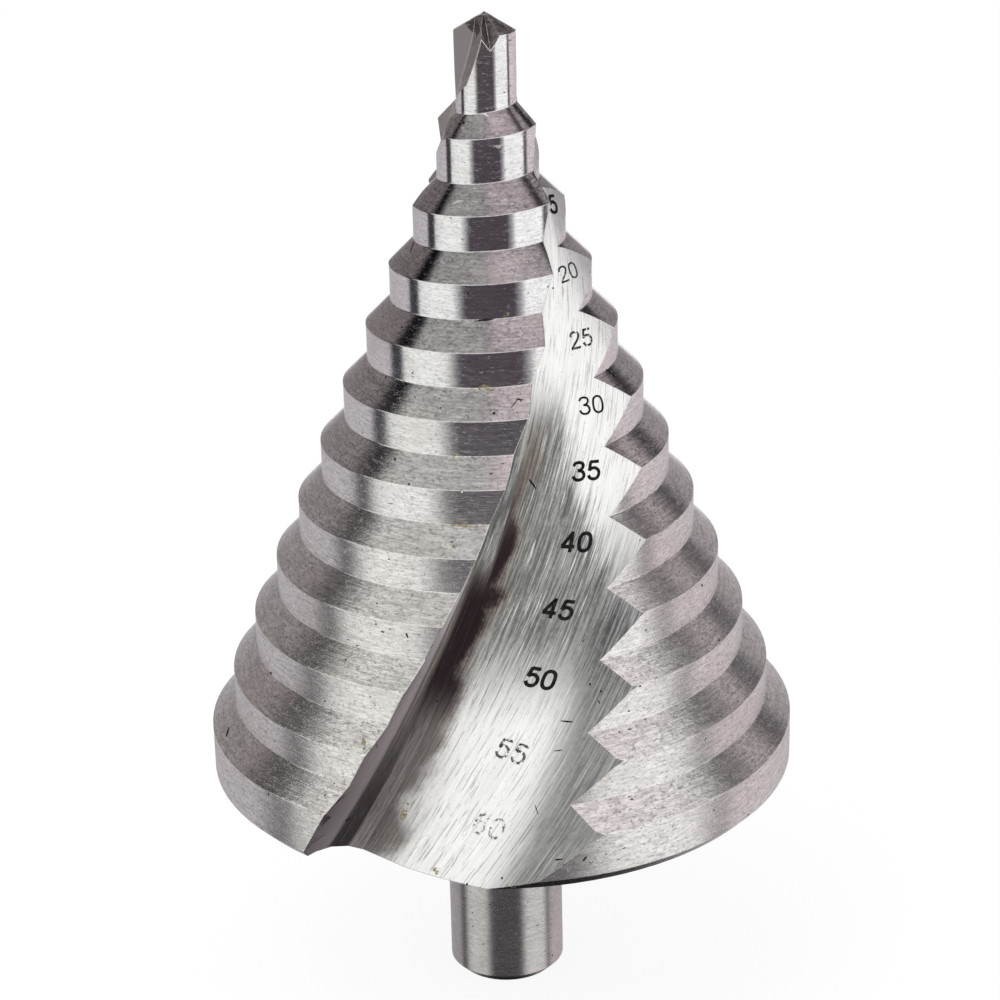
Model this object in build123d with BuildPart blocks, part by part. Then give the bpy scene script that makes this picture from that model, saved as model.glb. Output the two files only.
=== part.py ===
"""Step drill, 6 to 60 mm in twelve steps, with two spiral flutes and a plain round shank.

One solid piece of tool steel. Z is the drill's axis, with the point up. The origin is the centre
of the shank's end face, which the drill stands on. Sizes are in millimetres, angles in degrees.
"""

from build123d import *
from math import cos, radians, sin, tan
import os

# Steps, from the largest at the foot of the cone to the smallest under the pilot drill.
LARGEST_DIAMETER = 60.0
SMALLEST_DIAMETER = 10.0
DIAMETER_STEP = 5.0
STEP_PITCH = 6.1
FIRST_LAND = 6.2
LAST_LAND = 4.5
FOOT_BEVEL = 1.2

# Pilot drill on top of the steps.
PILOT_DIAMETER = 6.0
PILOT_LENGTH = 6.9
POINT_HEIGHT = 1.8

# Shank under the steps.
SHANK_DIAMETER = 12.0
SHANK_LENGTH = 24.4
SHANK_CHAMFER = 0.9

# Relief: behind each cutting edge a step drops towards the shank, like a very shallow thread.
RELIEF_LEAD = 2.5
SEAM_LAG = 20.0

# Flutes: FLUTE_COUNT alike, evenly spaced. Their section shrinks with the cone around the steps,
# so its sizes are shares of that cone's radius: (out along the cutting face, across to the heel).
# The gullet between face and floor is a round of GULLET_RADIUS, cut as chords at GULLET_ANGLES.
FLUTE_COUNT = 2
GULLET_RADIUS = 0.1
GULLET_ANGLES = (0, 30, 60, 90)
FLOOR_START = (0.748, GULLET_RADIUS)
FLOOR_FLAT_END = (0.748, 0.27)
FLOOR_BEND = (0.698, 0.53)
FLOOR_HEEL = (0.594, 0.78)
HEEL_KNEE = (0.51, 0.875)
EXIT_SLOPE = 0.3
LEAST_CONE_RADIUS = 1.0
CUTTER_MARGIN = 6.0

# Direction of the cutting edge, by height over the foot of the cone: 0 is -Y, 90 is +X.
EDGE_DIRECTIONS = {
    -5.0: -47.9,
    0.0: -42.3,
    10.0: -31.0,
    20.0: -19.6,
    30.0: -6.6,
    40.0: 8.2,
    50.0: 26.0,
    58.0: 44.0,
    64.0: 60.0,
    68.0: 71.0,
    73.0: 82.0,
    80.0: 93.0,
}

# Split point: a V notch beside each flute thins the web at the tip.
NOTCH_DIRECTION = 10.0
NOTCH_OFFSET = 0.3
NOTCH_DROP = 0.4
NOTCH_SLOPE = 46.0
NOTCH_HALF_ANGLE = 48.0

# How the relieved rings run into each other and into the core. None of it shows outside.
RING_ROOT = 2.0
RING_LAP = 0.3
RING_OVERLAP = 2.1
CORE_INSET = 0.6
CORE_DROP = 1.6

foot_radius = LARGEST_DIAMETER / 2
radius_step = DIAMETER_STEP / 2
step_count = round((LARGEST_DIAMETER - SMALLEST_DIAMETER) / DIAMETER_STEP) + 1
radii = [foot_radius - radius_step * i for i in range(step_count)]
pilot_radius = PILOT_DIAMETER / 2
shank_radius = SHANK_DIAMETER / 2

# Heights over the foot of the cone, at the cutting edge, of each land's upper rim and of the top
# of the 45 degree chamfer above it.
land_tops = [FIRST_LAND + STEP_PITCH * i for i in range(step_count)]
land_tops[-1] = land_tops[-2] + radius_step + LAST_LAND
next_radii = radii[1:] + [pilot_radius]
chamfer_tops = [top + r - n for top, r, n in zip(land_tops, radii, next_radii)]
pilot_top = chamfer_tops[-1] + PILOT_LENGTH
apex = pilot_top + POINT_HEIGHT

# The cone that touches the upper rims of the lands.
cone_slope = radius_step / STEP_PITCH
cone_foot_radius = foot_radius + cone_slope * FIRST_LAND


def cone_radius(height):
    """Radius of the cone around the steps, held to a least size so that a web is left."""
    return max(cone_foot_radius - cone_slope * height, LEAST_CONE_RADIUS)


def edge_direction(height):
    """Direction of the cutting edge at a height, by straight runs between the given ones."""
    stations = list(EDGE_DIRECTIONS.items())
    for (low, start), (high, end) in zip(stations, stations[1:]):
        if height <= high:
            break
    return start + (end - start) * (height - low) / (high - low)


def relieved_ring(index):
    """Half a turn of one land and its chamfer, swept along the relief, ending inside a flute."""
    outer, inner, top = radii[index], next_radii[index], land_tops[index]
    crown = chamfer_tops[index]
    bottom = chamfer_tops[index - 1] - RING_OVERLAP if index else -RING_OVERLAP
    end = edge_direction((bottom + crown) / 2) + SEAM_LAG
    turn = 360 / FLUTE_COUNT
    drop = RELIEF_LEAD * (turn - SEAM_LAG) / 360
    with BuildPart() as ring:
        with BuildLine():
            relief = Helix(RELIEF_LEAD, RELIEF_LEAD * turn / 360, foot_radius)
        with BuildSketch(Plane.XZ):
            with BuildLine():
                Polyline(
                    (inner - RING_ROOT, bottom),
                    (outer, bottom),
                    (outer, top),
                    (inner - RING_LAP, crown + RING_LAP),
                    (inner - RING_ROOT, crown + RING_LAP),
                    close=True,
                )
            make_face()
        sweep(path=relief, is_frenet=True)
    return ring.part.moved(Location((0, 0, -drop), (0, 0, end - 90 - turn)))


def flute_section(height):
    """The flute's outline at a height: cutting face, gullet, floor bending down to the heel."""
    size = cone_radius(height)
    direction = radians(edge_direction(height) - 90)
    frame = Plane(origin=(0, 0, height), x_dir=(cos(direction), sin(direction), 0), z_dir=(0, 0, 1))
    floor_start, flat_end, bend, heel, knee = (
        (size * out, size * across)
        for out, across in (FLOOR_START, FLOOR_FLAT_END, FLOOR_BEND, FLOOR_HEEL, HEEL_KNEE)
    )
    far = size + CUTTER_MARGIN
    floor_exit = (knee[0] - EXIT_SLOPE * (far - knee[1]), far)
    gullet = [
        (floor_start[0] + floor_start[1] * (1 - sin(angle)), floor_start[1] * (1 - cos(angle)))
        for angle in map(radians, GULLET_ANGLES)
    ]
    with BuildSketch(frame) as section:
        with BuildLine():
            Polyline((far, 0), *gullet, flat_end)
            ThreePointArc(flat_end, bend, heel)
            Polyline(heel, knee, floor_exit, (far, far), (far, 0))
        make_face()
    return section.sketch


def notch_cutter():
    """A V bar that slopes out and down from beside the tip."""
    turn, slope = radians(NOTCH_DIRECTION - 90), radians(NOTCH_SLOPE)
    length = 3 * PILOT_DIAMETER
    half_width = length * tan(radians(NOTCH_HALF_ANGLE))
    frame = Plane(
        origin=(NOTCH_OFFSET * cos(turn), NOTCH_OFFSET * sin(turn), apex - NOTCH_DROP),
        x_dir=(-sin(turn), cos(turn), 0),
        z_dir=(cos(turn) * cos(slope), sin(turn) * cos(slope), -sin(slope)),
    )
    with BuildPart() as notch:
        with BuildSketch(frame):
            with BuildLine():
                Polyline((0, 0), (half_width, length), (-half_width, length), close=True)
            make_face()
        extrude(amount=length)
    return notch.part


with BuildPart() as flute:
    loft(sections=[flute_section(height).face() for height in EDGE_DIRECTIONS])

# Takes the foot of the cone down to a flat face with a bevelled rim.
with BuildPart() as foot_trim:
    with BuildSketch(Plane.XZ):
        with BuildLine():
            Polyline(
                (0, 0),
                (foot_radius - FOOT_BEVEL, 0),
                (foot_radius + CUTTER_MARGIN, FOOT_BEVEL + CUTTER_MARGIN),
                (foot_radius + CUTTER_MARGIN, -CUTTER_MARGIN),
                (0, -CUTTER_MARGIN),
                close=True,
            )
        make_face()
    revolve(axis=Axis.Z)

with BuildPart() as drill:
    # The core, a stack of discs a little smaller than the lands, with the pilot drill on top.
    with BuildSketch(Plane.XZ):
        with BuildLine():
            outline = [(0, 0)]
            for radius, crown in zip(next_radii[:-1], chamfer_tops):
                outline.append((radius - CORE_INSET, outline[-1][1]))
                outline.append((radius - CORE_INSET, crown - CORE_DROP))
            outline.append((pilot_radius, outline[-1][1]))
            outline.append((pilot_radius, pilot_top))
            outline.append((0, apex))
            Polyline(*outline, close=True)
        make_face()
    revolve(axis=Axis.Z)
    for index in range(step_count):
        with PolarLocations(0, FLUTE_COUNT):
            add(relieved_ring(index))
    with PolarLocations(0, FLUTE_COUNT):
        add(flute.part, mode=Mode.SUBTRACT)
        add(notch_cutter(), mode=Mode.SUBTRACT)
    add(foot_trim.part, mode=Mode.SUBTRACT)
    with BuildSketch(Plane.XZ):
        with BuildLine():
            Polyline(
                (0, CUTTER_MARGIN),
                (0, -SHANK_LENGTH),
                (shank_radius - SHANK_CHAMFER, -SHANK_LENGTH),
                (shank_radius, SHANK_CHAMFER - SHANK_LENGTH),
                (shank_radius, CUTTER_MARGIN),
                close=True,
            )
        make_face()
    revolve(axis=Axis.Z)

os.makedirs("parts", exist_ok=True)
drill.part = drill.part.moved(Location((0, 0, SHANK_LENGTH)))
drill.part.label = "drill_body"
export_step(drill.part, "parts/drill_body.step")
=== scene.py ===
import random
from math import cos, hypot, pi, radians, sin

import bpy
from mathutils import Matrix, Vector
from mathutils.bvhtree import BVHTree


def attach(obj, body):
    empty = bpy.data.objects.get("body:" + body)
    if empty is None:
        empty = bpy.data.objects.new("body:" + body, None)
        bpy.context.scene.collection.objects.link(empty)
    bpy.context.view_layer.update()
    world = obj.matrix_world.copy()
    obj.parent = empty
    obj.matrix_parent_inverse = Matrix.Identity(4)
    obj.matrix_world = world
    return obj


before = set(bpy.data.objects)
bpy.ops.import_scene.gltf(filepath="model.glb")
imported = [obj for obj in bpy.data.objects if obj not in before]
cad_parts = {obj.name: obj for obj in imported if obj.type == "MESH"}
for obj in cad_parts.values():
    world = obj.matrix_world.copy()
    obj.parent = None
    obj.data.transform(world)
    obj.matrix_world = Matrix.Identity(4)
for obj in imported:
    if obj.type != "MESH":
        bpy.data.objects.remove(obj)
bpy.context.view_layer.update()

MM = 0.001
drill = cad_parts["drill_body"]

# Sizes repeated from the part's source, in millimetres and degrees. Heights in the cone's own
# frame start at its foot, SHANK_LENGTH above the floor.
SHANK_LENGTH = 24.4
STEP_RADII = [30.0 - 2.5 * i for i in range(11)]
PILOT_RADIUS = 3.0
PILOT_TOP = 101.3
# The cone that touches the upper rims of the lands: its radius at the foot and its taper.
CONE_FOOT_RADIUS = 32.541
CONE_SLOPE = 0.40984
# Direction of the cutting edge, by height over the foot of the cone: 0 is -Y, 90 is +X.
EDGE_DIRECTIONS = {
    -5.0: -47.9, 0.0: -42.3, 10.0: -31.0, 20.0: -19.6, 30.0: -6.6, 40.0: 8.2,
    50.0: 26.0, 58.0: 44.0, 64.0: 60.0, 68.0: 71.0, 73.0: 82.0, 80.0: 93.0,
}


# ---------------------------------------------------------------- camera

PICTURE_SIDE = 1000
FOCAL_PIXELS = 2911.34
SENSOR_MM = 36.0
CAMERA_DISTANCE = 295.49
CAMERA_ELEVATION = radians(21.818)
CAMERA_ROLL = radians(-1.408)
CAMERA_TARGET = Vector((0.386, 0.0, 53.089))

toward_camera = Vector((0.0, -cos(CAMERA_ELEVATION), sin(CAMERA_ELEVATION)))
camera_place = (CAMERA_TARGET + CAMERA_DISTANCE * toward_camera) * MM
level_right = Vector((1.0, 0.0, 0.0))
level_up = toward_camera.cross(level_right)
camera_right = cos(CAMERA_ROLL) * level_right + sin(CAMERA_ROLL) * level_up
camera_up = cos(CAMERA_ROLL) * level_up - sin(CAMERA_ROLL) * level_right

camera_data = bpy.data.cameras.new("camera")
camera_data.sensor_width = SENSOR_MM
camera_data.lens = FOCAL_PIXELS / PICTURE_SIDE * SENSOR_MM
camera_data.clip_start = 0.01
camera_data.clip_end = 20.0
camera = bpy.data.objects.new("camera", camera_data)
axes = Matrix((camera_right, camera_up, toward_camera)).transposed().to_4x4()
camera.matrix_world = Matrix.Translation(camera_place) @ axes
bpy.context.scene.collection.objects.link(camera)
bpy.context.scene.camera = camera
bpy.context.scene.view_settings.view_transform = "Standard"


# ---------------------------------------------------------------- node helpers

def add(tree, kind, inputs=None, **settings):
    """A shader node with its settings, and with its inputs set or linked."""
    node = tree.nodes.new("ShaderNode" + kind)
    for name, value in settings.items():
        setattr(node, name, value)
    for key, value in (inputs or {}).items():
        feed(tree, node.inputs[key], value)
    return node


def feed(tree, socket, value):
    if isinstance(value, bpy.types.NodeSocket):
        tree.links.new(value, socket)
    else:
        socket.default_value = value


def calc(tree, operation, *values):
    node = add(tree, "Math", operation=operation)
    for socket, value in zip(node.inputs, values):
        feed(tree, socket, value)
    return node.outputs[0]


def vector_calc(tree, operation, *values, output=0):
    node = add(tree, "VectorMath", operation=operation)
    for socket, value in zip(node.inputs, values):
        feed(tree, socket, value)
    return node.outputs[output]


def blend(tree, factor, first, second, mode="MIX"):
    """Mix of two colours, each a socket or an RGB triple."""
    node = add(tree, "Mix", data_type="RGBA", blend_type=mode)
    feed(tree, node.inputs[0], factor)
    for socket, value in ((node.inputs[6], first), (node.inputs[7], second)):
        if isinstance(value, (tuple, list)):
            value = (*value, 1.0)
        feed(tree, socket, value)
    return node.outputs[2]


def ramp(tree, value, low, high, to_low=0.0, to_high=1.0, smooth=True):
    """value taken from low..high to to_low..to_high, held at both ends."""
    node = add(tree, "MapRange", {0: value, 1: low, 2: high, 3: to_low, 4: to_high})
    node.interpolation_type = "SMOOTHSTEP" if smooth else "LINEAR"
    node.clamp = True
    return node.outputs[0]


def noise(tree, vector, scale, detail=3.0, roughness=0.55):
    node = add(tree, "TexNoise", {
        "Vector": vector, "Scale": scale, "Detail": detail, "Roughness": roughness})
    return node.outputs["Fac"]


def new_material(name):
    material = bpy.data.materials.new(name)
    material.use_nodes = True
    tree = material.node_tree
    tree.nodes.clear()
    output = add(tree, "OutputMaterial")
    return material, tree, output


def place_mm(tree):
    """The place on the object in millimetres, as a vector and as x, y and z."""
    place = add(tree, "TexCoord").outputs["Object"]
    vector = vector_calc(tree, "SCALE", place)
    vector.node.inputs["Scale"].default_value = 1 / MM
    parts = add(tree, "SeparateXYZ", {0: vector}).outputs
    return vector, parts[0], parts[1], parts[2]


# ---------------------------------------------------------------- steel

def edge_mask(tree, normal, radius, low, high):
    """1 along sharp edges, where the rounded normal leaves the true one."""
    rounded = add(tree, "Bevel", {"Radius": radius * MM, "Normal": normal}, samples=6).outputs[0]
    match = vector_calc(tree, "DOT_PRODUCT", rounded, normal, output=1)
    return ramp(tree, match, 1 - low, 1 - high), rounded


def round_normal(tree, x, y, slope):
    """The normal of a surface turned about the axis, tilted up by slope degrees."""
    level = add(tree, "CombineXYZ", {0: x, 1: y, 2: 0.0}).outputs[0]
    level = vector_calc(tree, "NORMALIZE", level)
    flat, rise = cos(radians(slope)), sin(radians(slope))
    return vector_calc(tree, "MULTIPLY_ADD", level, (flat, flat, 0.0), (0.0, 0.0, rise))


def finish_steel(tree, output, colour, rough, bump, normal, anisotropic, tangent):
    bumped = add(tree, "Bump", {
        "Height": bump, "Strength": 1.0, "Distance": 0.02 * MM, "Normal": normal})
    shader = add(tree, "BsdfPrincipled", {
        "Base Color": colour, "Metallic": 1.0, "Roughness": rough,
        "Normal": bumped.outputs[0], "Anisotropic": anisotropic, "Tangent": tangent})
    feed(tree, output.inputs["Surface"], shader.outputs[0])


# Heights in mm between which the steel goes from its look low on the cone to that at the top.
GRAIN_CLIMB = (45.0, 84.0)


def turned_steel(name, low_tones, high_tones, rough, grain, slope=None, anisotropic=0.75):
    """Steel turned on a lathe: rings of fine lines, dark specks and a painted highlight on its
    edges.

    low_tones and high_tones are the light and the mottled colour at the foot of the cone and at
    the point, rough is the roughness there, grain is how strongly the turning marks show, and
    slope is how far the surface leans up from a cylinder, in degrees.
    """
    material, tree, output = new_material(name)
    place, x, y, z = place_mm(tree)
    mottle = noise(tree, vector_calc(tree, "MULTIPLY", place, (1.0, 1.0, 5.0)), 0.7, 6.0, 0.68)
    line = noise(tree, vector_calc(tree, "MULTIPLY", place, (0.2, 0.2, 9.0)), 1.0, 3.0, 0.6)
    grit = noise(tree, vector_calc(tree, "MULTIPLY", place, (1.0, 1.0, 2.2)), 2.3, 3.0, 0.7)
    fleck = noise(tree, vector_calc(tree, "MULTIPLY", place, (1.0, 1.0, 2.6)), 1.3, 4.0, 0.75)
    fleck = ramp(tree, fleck, 0.57, 0.65)
    broad = noise(tree, place, 0.16, 3.0)
    speck = noise(tree, vector_calc(tree, "MULTIPLY", place, (1.0, 1.0, 1.8)), 1.5, 2.0)
    speck = ramp(tree, speck, 0.71, 0.745)
    climb = ramp(tree, z, *GRAIN_CLIMB)
    light, mottled = (blend(tree, climb, low, high) for low, high in zip(low_tones, high_tones))
    dark = blend(tree, 1.0, mottled, (0.5, 0.49, 0.49), "MULTIPLY")
    colour = blend(tree, ramp(tree, mottle, 0.40, 0.60), light, mottled)
    colour = blend(tree, calc(tree, "MULTIPLY", ramp(tree, grit, 0.50, 0.68), 0.6 * grain),
                   colour, dark)
    colour = blend(tree, calc(tree, "MULTIPLY", ramp(tree, grit, 0.44, 0.30), 0.45 * grain),
                   colour, (0.97, 0.96, 0.95))
    colour = blend(tree, calc(tree, "MULTIPLY", ramp(tree, line, 0.45, 0.7), 0.35 * grain),
                   colour, dark)
    colour = blend(tree, calc(tree, "MULTIPLY", ramp(tree, broad, 0.45, 0.7), 0.35),
                   colour, (0.69, 0.62, 0.60))
    colour = blend(tree, calc(tree, "MULTIPLY", fleck, 0.6 * grain), colour, dark)
    colour = blend(tree, calc(tree, "MULTIPLY", speck, 0.9), colour, (0.03, 0.027, 0.027))
    if slope is None:
        true = add(tree, "NewGeometry").outputs["Normal"]
    else:
        true = round_normal(tree, x, y, slope)
    edge, rounded = edge_mask(tree, true, 0.15, 0.02, 0.10)
    # Painted highlight: sharp edges lightened toward white, broken up by noise.
    wear_and_highlight = calc(tree, "MULTIPLY", edge, ramp(tree, noise(tree, place, 0.5), 0.40, 0.62, 0.15, 0.9))
    colour = blend(tree, wear_and_highlight, colour, (0.97, 0.96, 0.95))
    height_rough = ramp(tree, z, *GRAIN_CLIMB, *rough)
    roughness = calc(tree, "ADD", height_rough,
                     calc(tree, "MULTIPLY", calc(tree, "SUBTRACT", grit, 0.5), 0.25))
    roughness = calc(tree, "MAXIMUM", roughness, 0.05)
    bump = calc(tree, "ADD", calc(tree, "MULTIPLY", mottle, 0.7 * grain),
                calc(tree, "MULTIPLY", line, 0.6 * grain))
    bump = calc(tree, "ADD", bump, calc(tree, "MULTIPLY", grit, 0.5 * grain))
    bump = calc(tree, "SUBTRACT", bump, calc(tree, "MULTIPLY", fleck, 0.35 * grain))
    bump = calc(tree, "SUBTRACT", bump, calc(tree, "MULTIPLY", speck, 2.0))
    bump = calc(tree, "MULTIPLY", bump, ramp(tree, climb, 0.0, 1.0, 1.0, 0.3))
    upright = add(tree, "CombineXYZ", {0: 0.0, 1: 0.0, 2: 1.0}).outputs[0]
    finish_steel(tree, output, colour, roughness, bump, rounded, anisotropic, upright)
    return material


def flute_frame(tree):
    """Where a point lies in its flute: share out and across, mm across, height, directions."""
    place, x, y, z = place_mm(tree)
    height = calc(tree, "SUBTRACT", z, SHANK_LENGTH)
    heights = list(EDGE_DIRECTIONS)
    low, high = heights[0], heights[-1]
    first, last = EDGE_DIRECTIONS[low], EDGE_DIRECTIONS[high]
    share = ramp(tree, height, low, high, smooth=False)
    curve = add(tree, "FloatCurve", {"Value": share})
    points = curve.mapping.curves[0].points
    points[0].location = (0.0, 0.0)
    points[-1].location = (1.0, 1.0)
    for station in heights[1:-1]:
        points.new((station - low) / (high - low),
                   (EDGE_DIRECTIONS[station] - first) / (last - first))
    curve.mapping.update()
    angle = ramp(tree, curve.outputs[0], 0.0, 1.0, radians(first), radians(last), smooth=False)
    sine = calc(tree, "SINE", angle)
    cosine = calc(tree, "COSINE", angle)
    out_raw = calc(tree, "SUBTRACT", calc(tree, "MULTIPLY", x, sine),
                   calc(tree, "MULTIPLY", y, cosine))
    across_raw = calc(tree, "ADD", calc(tree, "MULTIPLY", x, cosine),
                      calc(tree, "MULTIPLY", y, sine))
    side = calc(tree, "SIGN", out_raw)
    out = calc(tree, "MULTIPLY", out_raw, side)
    across = calc(tree, "MULTIPLY", across_raw, side)
    size = calc(tree, "MAXIMUM", calc(tree, "SUBTRACT", CONE_FOOT_RADIUS,
                                      calc(tree, "MULTIPLY", height, CONE_SLOPE)), 1.0)
    out_way = add(tree, "CombineXYZ", {
        0: calc(tree, "MULTIPLY", sine, side),
        1: calc(tree, "MULTIPLY", calc(tree, "MULTIPLY", cosine, side), -1.0), 2: 0.0})
    across_way = add(tree, "CombineXYZ", {
        0: calc(tree, "MULTIPLY", cosine, side), 1: calc(tree, "MULTIPLY", sine, side), 2: 0.0})
    along = vector_calc(
        tree, "ADD", vector_calc(tree, "MULTIPLY", across_way.outputs[0], (0.42, 0.42, 0.0)),
        vector_calc(tree, "MULTIPLY_ADD", out_way.outputs[0], (-0.3, -0.3, 0.0), (0.0, 0.0, 1.0)))
    return {
        "place": place, "height": height, "side": side, "across": across,
        "out_share": calc(tree, "DIVIDE", out, size),
        "across_share": calc(tree, "DIVIDE", across, size),
        "along": along,
    }


def flute_steel(name):
    """Ground flute: streaks along it, painted shade mid-flute and by the heel, a gullet darkened by
    staining and painted shade, a bright wall.
    """
    material, tree, output = new_material(name)
    at = flute_frame(tree)
    height, share = at["height"], at["across_share"]
    lane = add(tree, "CombineXYZ", {0: at["across"], 1: height, 2: at["side"]}).outputs[0]
    fine = noise(tree, vector_calc(tree, "MULTIPLY", lane, (4.5, 0.16, 1.0)), 1.0, 5.0, 0.75)
    broad = noise(tree, vector_calc(tree, "MULTIPLY", lane, (0.6, 0.12, 1.0)), 1.0, 3.0, 0.5)
    lobe = noise(tree, vector_calc(tree, "MULTIPLY", lane, (0.18, 0.26, 1.0)), 1.0, 1.5, 0.4)
    dark_line = ramp(
        tree, noise(tree, vector_calc(tree, "MULTIPLY", lane, (5.5, 0.28, 2.0)), 1.0, 3.0, 0.5),
        0.58, 0.66)
    light_line = ramp(
        tree, noise(tree, vector_calc(tree, "MULTIPLY", lane, (5.0, 0.22, 5.0)), 1.0, 3.0, 0.5),
        0.60, 0.68)
    grit = noise(tree, at["place"], 2.4, 3.0, 0.7)
    patch = noise(tree, at["place"], 1.9, 4.0, 0.75)
    broken = calc(tree, "ADD", calc(tree, "MULTIPLY", fine, 0.8),
                  calc(tree, "MULTIPLY", patch, 0.2))
    colour = blend(tree, ramp(tree, fine, 0.36, 0.64), (0.90, 0.895, 0.885), (1.0, 1.0, 0.99))
    # The gullet's staining and painted shade, and the painted shade in the middle and beside the
    # heel, are on the near flute alone; the hidden one is plain.
    near = ramp(tree, at["side"], -0.5, 0.5)
    # Painted shade: the middle of the flute and the strip beside the heel are painted dark, with
    # grinding streaks through it.
    reach = calc(tree, "ADD", ramp(tree, height, 22.0, 40.0, 0.76, 0.31, smooth=False),
                 calc(tree, "MULTIPLY", calc(tree, "SUBTRACT", broad, 0.5), 0.30))
    edge_of_painted_shade = calc(tree, "ADD", calc(tree, "SUBTRACT", share, reach),
                        calc(tree, "MULTIPLY", calc(tree, "SUBTRACT", fine, 0.5), 0.45))
    painted_shade = ramp(tree, edge_of_painted_shade, 0.09, -0.10)
    painted_shade = calc(tree, "MULTIPLY", painted_shade, calc(tree, "MULTIPLY", ramp(tree, height, 13.0, 23.0),
                                             ramp(tree, height, 46.0, 39.0)))
    painted_shade = calc(tree, "MULTIPLY", painted_shade, near)
    colour = blend(tree, calc(tree, "MULTIPLY", painted_shade, 0.9), colour,
                   blend(tree, ramp(tree, broken, 0.43, 0.58), (0.075, 0.08, 0.075),
                         (0.32, 0.32, 0.30)))
    # Painted shade along the strip beside the heel on the near flute, fading out between 22 and 36
    # mm up.
    ragged = calc(tree, "ADD", share,
                  calc(tree, "MULTIPLY", calc(tree, "SUBTRACT", fine, 0.5), 0.30))
    heel = calc(tree, "MULTIPLY", ramp(tree, ragged, 0.50, 0.66), ramp(tree, height, 36.0, 22.0))
    heel = calc(tree, "MULTIPLY", heel, near)
    colour = blend(tree, calc(tree, "MULTIPLY", heel, 0.85), colour,
                   blend(tree, ramp(tree, broken, 0.43, 0.58), (0.075, 0.075, 0.08),
                         (0.25, 0.245, 0.245)))
    line_share = ramp(tree, painted_shade, 0.0, 1.0, 0.28, 0.8)
    colour = blend(tree, calc(tree, "MULTIPLY", dark_line, line_share), colour,
                   (0.14, 0.135, 0.135))
    colour = blend(tree, calc(tree, "MULTIPLY", light_line, ramp(tree, heel, 0.0, 1.0, 0.65, 0.25)),
                   colour, (0.98, 0.97, 0.96))
    colour = blend(tree, calc(tree, "MULTIPLY", ramp(tree, grit, 0.58, 0.72), 0.25), colour,
                   (0.26, 0.25, 0.24))
    # Stain and painted shade in the gullet's corner: nearly black half way up, brown at its edge,
    # by the foot and above.
    wander = calc(tree, "ADD", calc(tree, "MULTIPLY", calc(tree, "SUBTRACT", patch, 0.5), 0.05),
                  calc(tree, "MULTIPLY", calc(tree, "SUBTRACT", lobe, 0.5), 0.22))
    wandering = calc(tree, "ADD", share, wander)
    brown = calc(tree, "MULTIPLY", ramp(tree, wandering, 0.22, 0.14),
                 ramp(tree, height, 45.0, 37.0))
    # Above the middle, a strip beside the cutting edge is left without the gullet's stain and
    # painted shade.
    unmarked_strip = calc(tree, "MAXIMUM", ramp(tree, share, 0.075, 0.115), ramp(tree, height, 30.0, 25.0))
    stain_and_shade_area = calc(tree, "MULTIPLY", near, unmarked_strip)
    brown = calc(tree, "MULTIPLY", brown, stain_and_shade_area)
    colour = blend(tree, calc(tree, "MULTIPLY", brown, 0.85), colour,
                   blend(tree, ramp(tree, fine, 0.40, 0.60), (0.15, 0.125, 0.112),
                         (0.27, 0.235, 0.215)))
    core_height = calc(tree, "MULTIPLY", ramp(tree, height, 11.0, 18.0, 0.15, 1.0),
                       ramp(tree, height, 40.0, 29.0))
    stain_and_shade = calc(tree, "MULTIPLY", ramp(tree, wandering, 0.165, 0.115),
                 calc(tree, "MULTIPLY", ramp(tree, share, 0.015, 0.045), core_height))
    stain_and_shade = calc(tree, "MULTIPLY", stain_and_shade, stain_and_shade_area)
    colour = blend(tree, calc(tree, "MULTIPLY", stain_and_shade, 0.94), colour, (0.045, 0.027, 0.033))
    # The cutting face: mauve-grey with a dark edge below, bright above.
    out_share = at["out_share"]
    face = calc(tree, "MULTIPLY", ramp(tree, out_share, 0.79, 0.82), ramp(tree, share, 0.05, 0.02))
    low_face = blend(tree, ramp(tree, out_share, 0.82, 1.0), (0.74, 0.67, 0.69), (0.44, 0.38, 0.40))
    face_colour = blend(tree, ramp(tree, height, 18.0, 28.0), low_face, (1.0, 0.98, 0.98))
    colour = blend(tree, calc(tree, "MULTIPLY", face, 0.92), colour, face_colour)
    # High up, the far flute is dull brown-grey, and the point's notch is dark.
    far_top = calc(tree, "MULTIPLY", ramp(tree, at["side"], 0.5, -0.5),
                   ramp(tree, height, 50.0, 58.0))
    colour = blend(tree, calc(tree, "MULTIPLY", far_top, 0.8), colour, (0.42, 0.385, 0.38))
    notch = calc(tree, "MULTIPLY", ramp(tree, at["across"], -0.6, -0.9),
                 ramp(tree, height, 73.5, 74.5))
    colour = blend(tree, calc(tree, "MULTIPLY", notch, 0.85), colour,
                   blend(tree, ramp(tree, fine, 0.42, 0.60), (0.05, 0.047, 0.05),
                         (0.20, 0.18, 0.17)))
    normal = add(tree, "NewGeometry").outputs["Normal"]
    edge, rounded = edge_mask(tree, normal, 0.12, 0.02, 0.12)
    shine = calc(tree, "MULTIPLY", edge, ramp(tree, height, 64.0, 70.0, 0.35, 0.05))
    colour = blend(tree, shine, colour, (0.95, 0.94, 0.93))
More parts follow.
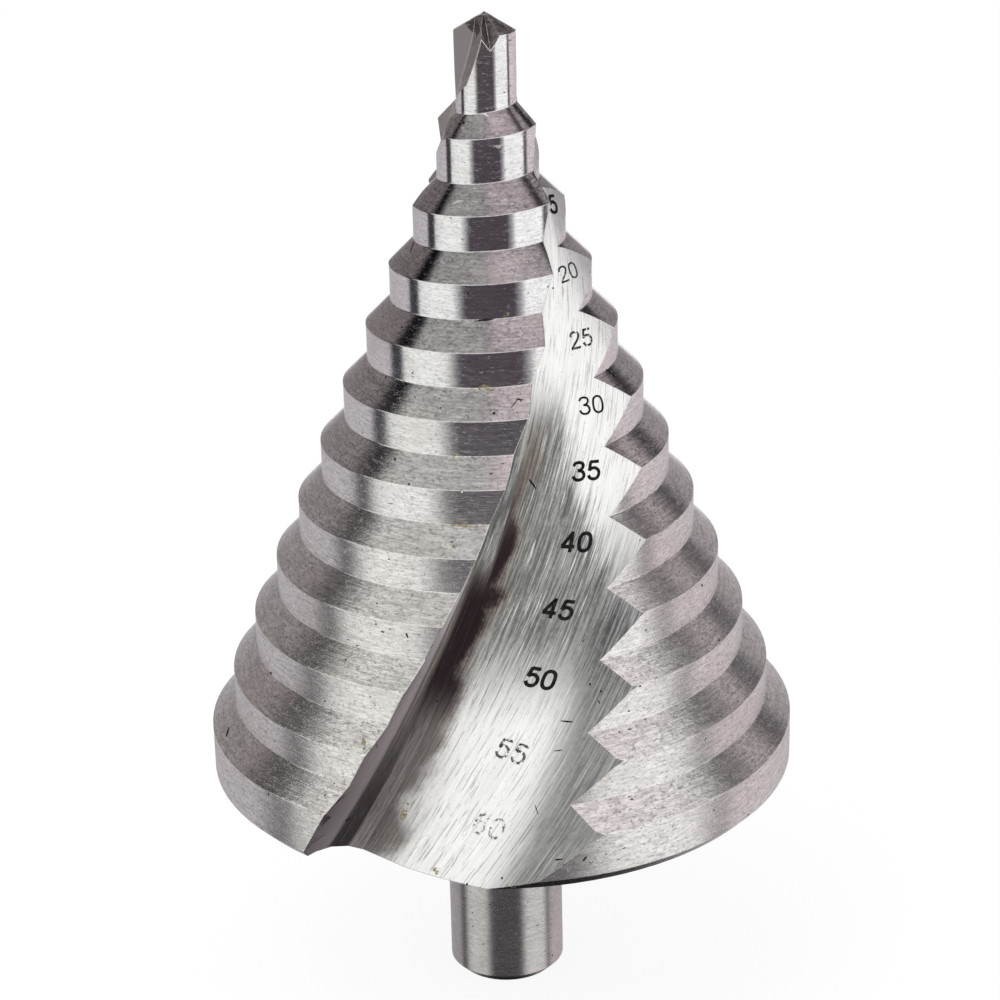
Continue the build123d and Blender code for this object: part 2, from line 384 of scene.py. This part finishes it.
    # The cutting edge is black from the foot to half way up.
    burnt = calc(tree, "MULTIPLY", ramp(tree, out_share, 0.84, 0.88), ramp(tree, share, 0.08, 0.04))
    burnt = calc(tree, "MULTIPLY", burnt, ramp(tree, height, 27.0, 20.0))
    burnt = calc(tree, "MULTIPLY", burnt, near)
    colour = blend(tree, calc(tree, "MULTIPLY", calc(tree, "MULTIPLY", edge, burnt), 0.9), colour,
                   (0.02, 0.016, 0.018))
    roughness = calc(tree, "ADD", ramp(tree, fine, 0.3, 0.7, 0.38, 0.26),
                     calc(tree, "MULTIPLY", calc(tree, "MAXIMUM", stain_and_shade, face), 0.32))
    bump = calc(tree, "ADD", calc(tree, "MULTIPLY", fine, 1.5), calc(tree, "MULTIPLY", broad, 1.0))
    bump = calc(tree, "SUBTRACT", bump, calc(tree, "MULTIPLY", dark_line, 0.8))
    cross = vector_calc(tree, "CROSS_PRODUCT", normal, at["along"])
    finish_steel(tree, output, colour, roughness, bump, rounded, 0.55, cross)
    return material


# Light and mottled tone of each kind of surface.
LAND_LOW = ((0.98, 0.965, 0.945), (0.77, 0.75, 0.73))
LAND_HIGH = ((0.97, 0.965, 0.97), (0.84, 0.825, 0.84))
CHAMFER_LOW = ((0.95, 0.935, 0.905), (0.69, 0.675, 0.65))
CHAMFER_HIGH = ((0.50, 0.485, 0.49), (0.37, 0.355, 0.36))
SHANK_TONES = ((0.60, 0.585, 0.575), (0.50, 0.49, 0.48))
FOOT_TONES = ((0.62, 0.60, 0.60), (0.46, 0.44, 0.44))
POINT_TONES = ((0.26, 0.235, 0.225), (0.12, 0.10, 0.10))
materials = {
    "land": turned_steel("steel_land", LAND_LOW, LAND_HIGH, (0.28, 0.08), 0.9, 0.0),
    "chamfer": turned_steel(
        "steel_chamfer", CHAMFER_LOW, CHAMFER_HIGH, (0.24, 0.06), 1.3, 45.0, anisotropic=0.45),
    "shank": turned_steel("steel_shank", SHANK_TONES, SHANK_TONES, (0.26, 0.26), 0.4, 0.0),
    "foot": turned_steel("steel_foot", FOOT_TONES, FOOT_TONES, (0.2, 0.2), 0.8),
    "point": turned_steel("steel_point", POINT_TONES, POINT_TONES, (0.4, 0.4), 1.2),
    "flute": flute_steel("steel_flute"),
}


def surface_kind(mesh, polygon):
    """Which surface of the drill a face belongs to, from its place and its normal."""
    corners = [mesh.vertices[i].co / MM for i in polygon.vertices]
    reach = [hypot(c.x, c.y) for c in corners]
    height = sum(c.z for c in corners) / len(corners)
    normal = polygon.normal
    middle = sum(corners, Vector()) / len(corners)
    radial = (normal.x * middle.x + normal.y * middle.y) / max(hypot(middle.x, middle.y), 1e-6)
    if normal.z < -0.5:
        return "foot"
    if height < SHANK_LENGTH - 0.05:
        return "shank"
    if max(reach) < PILOT_RADIUS + 0.05 and height > PILOT_TOP and radial > -0.5:
        return "point"
    if abs(normal.z) < 0.06 and radial > 0.97:
        for radius in STEP_RADII + [PILOT_RADIUS]:
            if max(abs(r - radius) for r in reach) < 0.12:
                return "land"
    if abs(normal.z - 0.7071) < 0.04 and radial > 0.66:
        return "chamfer"
    return "flute"


mesh = drill.data
mesh.materials.clear()
kinds = list(materials)
for material in materials.values():
    mesh.materials.append(material)
for polygon in mesh.polygons:
    polygon.material_index = kinds.index(surface_kind(mesh, polygon))


# ---------------------------------------------------------------- marks on the surface

tree_of_faces = BVHTree.FromPolygons(
    [v.co.copy() for v in mesh.vertices], [tuple(p.vertices) for p in mesh.polygons])
UP = Vector((0.0, 0.0, 1.0))
MARK_LIFT = 0.03 * MM
DROP_MM = 3


def through_pixel(x, y):
    """The point and normal of the drill that the camera sees at a pixel of the picture."""
    middle = PICTURE_SIDE / 2
    way = (camera_right * (x - middle) - camera_up * (y - middle)) / FOCAL_PIXELS - toward_camera
    place, normal, _, _ = tree_of_faces.ray_cast(camera_place, way.normalized())
    return place, normal


def laid(place, normal, right, up, x, y):
    """A flat offset from a place, dropped along the normal onto the drill."""
    flat = place + right * x + up * y
    start = flat + normal * DROP_MM * MM
    hit, hit_normal, _, _ = tree_of_faces.ray_cast(start, -normal, 2 * DROP_MM * MM)
    if hit is None:
        return flat + normal * MARK_LIFT
    return hit + hit_normal * MARK_LIFT


def new_piece(name, points, faces, material):
    """A piece of marks that rides on the drill."""
    piece_mesh = bpy.data.meshes.new(name)
    piece_mesh.from_pydata([tuple(p) for p in points], [], faces)
    piece_mesh.materials.append(material)
    piece = bpy.data.objects.new(name, piece_mesh)
    bpy.context.scene.collection.objects.link(piece)
    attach(piece, "root")


def ink(name, wear_and_highlight):
    """Black marking; wear from 0, whole, to 1, nearly gone."""
    material, tree, output = new_material(name)
    place = place_mm(tree)[0]
    grain = noise(tree, place, 2.2, 4.0, 0.65)
    colour = blend(tree, ramp(tree, grain, 0.4, 0.7), (0.006, 0.006, 0.007), (0.022, 0.021, 0.021))
    shader = add(tree, "BsdfPrincipled", {
        "Base Color": colour, "Roughness": ramp(tree, grain, 0.3, 0.7, 0.6, 0.85),
        "Specular IOR Level": 0.08})
    if not wear_and_highlight:
        feed(tree, output.inputs["Surface"], shader.outputs[0])
        return material
    threshold = 0.30 + 0.17 * wear_and_highlight
    keep = ramp(tree, noise(tree, place, 3.0, 3.0, 0.7), threshold, threshold + 0.10)
    keep = calc(tree, "MULTIPLY", keep, 1.0 - 0.45 * wear_and_highlight)
    clear = add(tree, "BsdfTransparent")
    mixed = add(tree, "MixShader", {0: keep, 1: clear.outputs[0], 2: shader.outputs[0]})
    feed(tree, output.inputs["Surface"], mixed.outputs[0])
    return material


INKS = {"whole": ink("ink_whole", 0.0), "rubbed": ink("ink_rubbed", 0.35),
        "half": ink("ink_half", 0.7), "faint": ink("ink_faint", 1.0)}
# Strokes of each digit on a unit of its height. A run of points is one smooth stroke.
DIGITS = {
    "0": [[(0.38, 0.93), (0.17, 0.82), (0.11, 0.50), (0.17, 0.18), (0.38, 0.07), (0.59, 0.18),
           (0.65, 0.50), (0.59, 0.82), (0.38, 0.93)]],
    "1": [[(0.46, 0.0), (0.46, 1.0)], [(0.46, 0.93), (0.22, 0.74)]],
    "2": [[(0.10, 0.70), (0.17, 0.87), (0.38, 0.93), (0.59, 0.85), (0.61, 0.66), (0.44, 0.42),
           (0.22, 0.22), (0.11, 0.07)], [(0.08, 0.07), (0.68, 0.07)]],
    "3": [[(0.11, 0.76), (0.20, 0.89), (0.38, 0.93), (0.57, 0.86), (0.59, 0.69), (0.47, 0.56),
           (0.32, 0.53)], [(0.32, 0.53), (0.55, 0.48), (0.65, 0.29), (0.57, 0.12), (0.37, 0.06),
                           (0.19, 0.12), (0.09, 0.27)]],
    "4": [[(0.50, 0.0), (0.50, 1.0)], [(0.50, 0.93), (0.10, 0.30)], [(0.05, 0.27), (0.69, 0.27)]],
    "5": [[(0.64, 0.92), (0.20, 0.92)], [(0.22, 0.95), (0.14, 0.48)],
          [(0.14, 0.50), (0.28, 0.60), (0.46, 0.60), (0.62, 0.47), (0.64, 0.28), (0.54, 0.11),
           (0.36, 0.06), (0.19, 0.12), (0.10, 0.26)]],
    "6": [[(0.62, 0.77), (0.54, 0.90), (0.39, 0.93), (0.20, 0.82), (0.12, 0.56), (0.13, 0.26),
           (0.26, 0.09), (0.42, 0.06), (0.59, 0.15), (0.64, 0.33), (0.55, 0.52), (0.38, 0.58),
           (0.21, 0.50), (0.14, 0.36)]],
}
DIGIT_ADVANCE = 0.78
STROKE_STEPS = 5


def smooth_run(points):
    """Points along a smooth line through the given ones. Two points stay a straight line."""
    if len(points) == 2:
        return [Vector(points[0]).lerp(Vector(points[1]), step / STROKE_STEPS)
                for step in range(STROKE_STEPS + 1)]
    knots = [Vector(p) for p in points]
    closed = knots[0] == knots[-1]
    before = knots[-2] if closed else 2 * knots[0] - knots[1]
    after = knots[1] if closed else 2 * knots[-1] - knots[-2]
    knots = [before, *knots, after]
    run = []
    for a, b, c, d in zip(knots, knots[1:], knots[2:], knots[3:]):
        for step in range(STROKE_STEPS):
            t = step / STROKE_STEPS
            run.append(0.5 * (2 * b + (c - a) * t + (2 * a - 5 * b + 4 * c - d) * t * t
                              + (3 * b - a - 3 * c + d) * t ** 3))
    run.append(knots[-2])
    return run


def stroke_outline(run, width):
    """The left and right points of a stroke of even width along a run."""
    sides = []
    for index, point in enumerate(run):
        ahead = run[min(index + 1, len(run) - 1)] - run[max(index - 1, 0)]
        side = Vector((-ahead.y, ahead.x)).normalized() * width / 2
        sides.append((point + side, point - side))
    return sides


# Text, where the middle of its last digit is in the picture, its height in mm, the stroke's
# width and the slant as shares of the height, the ink, and its turn on the surface in degrees.
NUMBERS = (
    ("15", (553, 204), 1.9, 0.17, 0.05, "whole", -12),
    ("20", (573, 270), 1.7, 0.11, 0.05, "rubbed", 3),
    ("25", (587, 337), 1.8, 0.13, 0.10, "rubbed", 0),
    ("30", (598, 404), 1.85, 0.11, 0.02, "whole", -4),
    ("35", (594, 470), 1.95, 0.16, 0.12, "whole", -4),
    ("40", (585, 542), 2.0, 0.18, 0.18, "whole", -5),
    ("45", (567, 610), 2.0, 0.18, 0.20, "whole", -9),
    ("50", (549, 680), 2.0, 0.18, 0.18, "whole", -9),
    ("55", (520, 754), 2.1, 0.13, 0.12, "half", -13),
    ("60", (497, 829), 2.2, 0.12, 0.12, "faint", -8),
)


def number_piece(text, pixel, height, width, slant, ink_name, turn):
    place, normal = through_pixel(*pixel)
    right = UP.cross(normal).normalized()
    up = normal.cross(right)
    angle = radians(turn)
    right, up = right * cos(angle) + up * sin(angle), up * cos(angle) - right * sin(angle)
    points, faces = [], []
    for count, digit in enumerate(text):
        start = Vector((DIGIT_ADVANCE * (count - len(text) + 1) - DIGIT_ADVANCE / 2, -0.5))
        for stroke in DIGITS[digit]:
            first = len(points)
            for pair in stroke_outline(smooth_run(stroke), width):
                for flat in pair:
                    x, y = flat + start
                    points.append(laid(place, normal, right, up,
                                       (x + slant * y) * height * MM, y * height * MM))
            for k in range(first, len(points) - 2, 2):
                faces.append((k, k + 1, k + 3, k + 2))
    new_piece("size_mark_" + text, points, faces, INKS[ink_name])


for row in NUMBERS:
    number_piece(*row)

# Scratches and pits as seen: from and to in the picture, and width in its pixels.
SCRATCHES = (
    ((561, 721), (573, 722), 1.5), ((554, 751), (563, 750), 0.9), ((555, 860), (563, 859), 1.4),
    ((345, 821), (350, 818), 2.2), ((535, 805), (538, 814), 0.8), ((583, 861), (587, 856), 1.8),
    ((229, 727), (226, 737), 2.0), ((529, 479), (536, 489), 1.8), ((410, 253), (415, 239), 0.9),
    ((474, 321), (494, 319), 1.6), ((511, 408), (518, 399), 1.0), ((516, 399), (524, 400), 0.9),
    ((606, 369), (617, 378), 1.4), ((406, 633), (408, 638), 1.6), ((598, 700), (600, 704), 1.0),
    ((518, 398), (522, 402), 0.8), ((376, 744), (378, 748), 0.8), ((467, 362), (472, 362), 0.8),
)
PITS = (
    ((468, 293), 1.5), ((494, 413), 2.1), ((395, 459), 1.7), ((409, 484), 1.4), ((376, 624), 1.2),
    ((390, 629), 1.0), ((271, 673), 1.3), ((325, 795), 1.2), ((402, 327), 1.1), ((437, 701), 1.1),
    ((377, 603), 1.1), ((325, 701), 1.2), ((389, 559), 1.0), ((502, 878), 1.4), ((437, 880), 1.8),
    ((467, 884), 1.5), ((590, 684), 1.6), ((601, 691), 1.5), ((583, 641), 1.0), ((386, 377), 1.0),
    ((640, 686), 1.3), ((640, 540), 1.0), ((702, 585), 1.1), ((719, 640), 1.0), ((553, 288), 1.1),
)
# Old oil and rust in the corners under some steps: from and to, and width.
STAINS = (
    ((478, 388), (495, 389), 4.5), ((451, 525), (478, 526), 3.5), ((452, 455), (463, 456), 4.0),
    ((503, 318), (509, 312), 3.5), ((363, 738), (364, 751), 4.0), ((343, 773), (345, 785), 3.0),
    ((452, 546), (456, 548), 4.0), ((408, 803), (402, 820), 6.0), ((384, 436), (392, 437), 2.0),
    ((505, 885), (520, 886), 3.0), ((434, 868), (438, 874), 5.0),
)
# Bare bright metal at knocked edges: from and to, and width.
NICKS = (
    ((597, 840), (598, 841), 2.6), ((461, 492), (463, 492), 1.6), ((344, 622), (345, 627), 1.2),
)
MARK_STEPS = 6
PIXEL_MM = CAMERA_DISTANCE / FOCAL_PIXELS


def ribbon(start, end, width, rough, points, faces, rng):
    """A thin ragged lens between two pixels of the picture, laid on the drill."""
    rows = []
    for step in range(MARK_STEPS + 1):
        share = step / MARK_STEPS
        x = start[0] + (end[0] - start[0]) * share
        y = start[1] + (end[1] - start[1]) * share
        place, normal = through_pixel(x, y)
        if place is not None:
            taper = max(sin(pi * (0.08 + 0.84 * share)), 0.0) ** 0.6
            rows.append((place, normal, width * taper * (1 + rough * rng.uniform(-1, 1))))
    if len(rows) < 3:
        return
    first = len(points)
    for index, (place, normal, wide) in enumerate(rows):
        ahead = rows[min(index + 1, len(rows) - 1)][0] - rows[max(index - 1, 0)][0]
        side = normal.cross(ahead).normalized()
        half = side * wide / 2 * PIXEL_MM * MM
        for offset in (half, -half):
            points.append(laid(place, normal, offset, Vector(), 1.0, 0.0))
    for k in range(first, len(points) - 2, 2):
        faces.append((k, k + 1, k + 3, k + 2))


def wear_piece(name, rows, rough, material):
    rng = random.Random(name)
    points, faces = [], []
    for start, end, width in rows:
        ribbon(start, end, width, rough, points, faces, rng)
    new_piece(name, points, faces, material)


def stain_material():
    material, tree, output = new_material("old_oil")
    place = place_mm(tree)[0]
    patch = noise(tree, vector_calc(tree, "MULTIPLY", place, (1.0, 1.0, 2.0)), 2.0, 4.0, 0.7)
    colour = blend(tree, ramp(tree, patch, 0.45, 0.6), (0.46, 0.40, 0.20), (0.20, 0.15, 0.08))
    shader = add(tree, "BsdfPrincipled", {
        "Base Color": colour, "Roughness": ramp(tree, patch, 0.3, 0.7, 0.4, 0.7)})
    keep = calc(tree, "MULTIPLY", ramp(tree, patch, 0.44, 0.56), 0.75)
    clear = add(tree, "BsdfTransparent")
    mixed = add(tree, "MixShader", {0: keep, 1: clear.outputs[0], 2: shader.outputs[0]})
    feed(tree, output.inputs["Surface"], mixed.outputs[0])
    return material


def nick_material():
    material, tree, output = new_material("bare_nick")
    grain = noise(tree, place_mm(tree)[0], 4.0, 3.0)
    shader = add(tree, "BsdfPrincipled", {
        "Base Color": blend(tree, grain, (0.9, 0.9, 0.9), (1.0, 1.0, 1.0)),
        "Metallic": 0.6, "Roughness": ramp(tree, grain, 0.3, 0.7, 0.3, 0.5)})
    feed(tree, output.inputs["Surface"], shader.outputs[0])
    return material


wear_piece("wear_scratches", SCRATCHES, 0.25, INKS["whole"])
pit_rows = [((x - r * 0.6, y), (x + r * 0.6, y + 0.3), 1.5 * r) for (x, y), r in PITS]
wear_piece("wear_pits", pit_rows, 0.35, INKS["whole"])
wear_piece("wear_stains", STAINS, 0.45, stain_material())
wear_piece("wear_nicks", NICKS, 0.2, nick_material())


# ---------------------------------------------------------------- studio

# What metal shows of the studio round it: the direction round the drill in degrees, 0 towards
# the camera and 90 to its right, and the colour there. LOW is below the horizon, HIGH above it
# and CEILING from about 50 degrees up. Set to bring out the photo's light and dark.
LOW_BANDS = (
    (-180, (0.46, 0.44, 0.46)), (-108, (0.54, 0.51, 0.53)), (-103, (0.05, 0.05, 0.06)),
    (-92, (0.05, 0.05, 0.06)), (-87, (0.80, 0.81, 0.79)), (-70, (0.93, 0.94, 0.91)),
    (-44, (0.88, 0.89, 0.87)), (-36, (0.38, 0.38, 0.38)), (-30, (0.075, 0.063, 0.076)),
    (27, (0.07, 0.057, 0.07)), (35, (0.42, 0.41, 0.42)), (40, (1.0, 1.0, 1.0)),
    (85, (1.0, 1.0, 1.0)), (90, (0.12, 0.11, 0.12)), (96, (0.12, 0.11, 0.12)),
    (102, (0.74, 0.66, 0.69)), (180, (0.50, 0.47, 0.49)),
)
HIGH_BANDS = (
    (-180, (0.33, 0.305, 0.315)), (-118, (0.31, 0.28, 0.285)), (-113, (0.006, 0.006, 0.010)),
    (-99, (0.006, 0.006, 0.010)), (-94, (0.90, 0.90, 0.88)), (-60, (1.0, 1.0, 0.98)),
    (-38, (1.0, 1.0, 0.98)), (32, (1.0, 1.0, 0.99)), (92, (1.0, 1.0, 1.0)),
    (102, (0.07, 0.06, 0.07)), (113, (0.07, 0.06, 0.07)), (118, (0.60, 0.54, 0.56)),
    (126, (0.56, 0.50, 0.52)), (129, (0.05, 0.045, 0.05)), (137, (0.05, 0.045, 0.05)),
    (142, (0.40, 0.37, 0.39)), (180, (0.33, 0.305, 0.315)),
)
CEILING_BANDS = (
    (-180, (0.34, 0.32, 0.33)), (-110, (0.36, 0.345, 0.35)), (-90, (0.64, 0.645, 0.625)),
    (-45, (0.67, 0.67, 0.65)), (-10, (0.60, 0.59, 0.59)), (8, (0.80, 0.71, 0.76)),
    (50, (0.88, 0.80, 0.83)), (84, (0.80, 0.72, 0.76)), (120, (0.46, 0.42, 0.44)),
    (180, (0.34, 0.32, 0.33)),
)
# What metal shows steeply below it.
UNDER_GREY = (0.012, 0.010, 0.014)
# Metal shows the white backdrop within this many degrees of straight behind it, and only where
# the reflected ray falls less steeply than this (the height of its unit direction).
BACKDROP_HALF_WIDTH = (10.0, 13.0)
BACKDROP_FADE = (-0.62, -0.52)
WHITE = (1.0, 1.0, 1.0, 1.0)


def band_ramp(tree, share, stops):
    node = add(tree, "ValToRGB", {0: share})
    elements = node.color_ramp.elements
    while len(elements) > 1:
        elements.remove(elements[-1])
    for index, (degrees, colour) in enumerate(stops):
        position = (degrees + 180) / 360
        element = elements[0] if index == 0 else elements.new(position)
        element.position = position
        element.color = (*colour, 1.0)
    return node.outputs[0]


def world_light():
    """White for the camera and plain white light on matt things. Metal shows a studio set to the
    photo, of soft panels and dark gaps, with the white backdrop straight behind."""
    world = bpy.data.worlds.new("studio")
    bpy.context.scene.world = world
    world.use_nodes = True
    tree = world.node_tree
    tree.nodes.clear()
    way = add(tree, "SeparateXYZ", {0: add(tree, "TexCoord").outputs["Generated"]}).outputs
    turn = calc(tree, "ARCTAN2", way[0], calc(tree, "MULTIPLY", way[1], -1.0))
    share = ramp(tree, turn, -pi, pi, smooth=False)
    low, high, ceiling = (
        band_ramp(tree, share, stops) for stops in (LOW_BANDS, HIGH_BANDS, CEILING_BANDS))
    pattern = blend(tree, ramp(tree, way[2], -0.22, 0.02), low, high)
    pattern = blend(tree, ramp(tree, way[2], 0.70, 0.80), pattern, ceiling)
    pattern = blend(tree, ramp(tree, way[2], -0.65, -0.80), pattern, UNDER_GREY)
    path = add(tree, "LightPath").outputs
    room = add(tree, "Background", {"Color": pattern, "Strength": 1.0})
    white = add(tree, "Background", {"Color": WHITE, "Strength": 1.0})
    inner = add(tree, "MixShader", {
        0: path["Is Glossy Ray"], 1: white.outputs[0], 2: room.outputs[0]})
    near, far = (pi - radians(degrees) for degrees in BACKDROP_HALF_WIDTH)
    behind = ramp(tree, calc(tree, "ABSOLUTE", turn), far, near)
    behind = calc(tree, "MULTIPLY", behind, ramp(tree, way[2], *BACKDROP_FADE))
    in_metal = calc(tree, "MULTIPLY", path["Is Glossy Ray"], behind)
    seen = calc(tree, "MAXIMUM", path["Is Camera Ray"], path["Is Transmission Ray"])
    seen = calc(tree, "MAXIMUM", seen, in_metal)
    outer = add(tree, "MixShader", {0: seen, 1: inner.outputs[0], 2: white.outputs[0]})
    feed(tree, add(tree, "OutputWorld").inputs[0], outer.outputs[0])


world_light()

# One soft lamp, which the metal itself doesn't show.
LAMP_SIDE = 0.35
LAMP_POWER = 1.2
LAMP_PLACE = Vector((-0.25, -0.25, 0.55))
LAMP_TARGET = Vector((0.0, 0.0, 0.05))

key = bpy.data.lights.new("key", "AREA")
key.shape = "SQUARE"
key.size = LAMP_SIDE
key.energy = LAMP_POWER
key_lamp = bpy.data.objects.new("key", key)
key_lamp.location = LAMP_PLACE
key_lamp.rotation_euler = (LAMP_TARGET - LAMP_PLACE).to_track_quat("-Z", "Y").to_euler()
key_lamp.visible_glossy = False
bpy.context.scene.collection.objects.link(key_lamp)


# Share of plain white in what the camera sees of the floor; the rest takes the drill's shadow.
FLOOR_LIFT = 0.90
FLOOR_REACH = 3.0


def floor():
    """The pale floor. It is hidden from glossy rays, so metal doesn't show it."""
    material, tree, output = new_material("floor_paper")
    grain = noise(tree, place_mm(tree)[0], 0.05, 3.0)
    colour = blend(tree, grain, (0.97, 0.97, 0.97), (1.0, 1.0, 1.0))
    paper = add(tree, "BsdfDiffuse", {"Color": colour})
    bright = add(tree, "Emission", {"Color": WHITE, "Strength": 1.0})
    path = add(tree, "LightPath").outputs
    seen = calc(tree, "MAXIMUM", path["Is Camera Ray"], path["Is Transmission Ray"])
    seen = calc(tree, "MULTIPLY", seen, FLOOR_LIFT)
    mixed = add(tree, "MixShader", {0: seen, 1: paper.outputs[0], 2: bright.outputs[0]})
    feed(tree, output.inputs["Surface"], mixed.outputs[0])
    floor_mesh = bpy.data.meshes.new("floor")
    corners = [(x * FLOOR_REACH, y * FLOOR_REACH, 0)
               for x, y in ((-1, -1), (1, -1), (1, 1), (-1, 1))]
    floor_mesh.from_pydata(corners, [], [(0, 1, 2, 3)])
    floor_mesh.materials.append(material)
    obj = bpy.data.objects.new("floor", floor_mesh)
    obj.visible_glossy = False
    bpy.context.scene.collection.objects.link(obj)


floor()
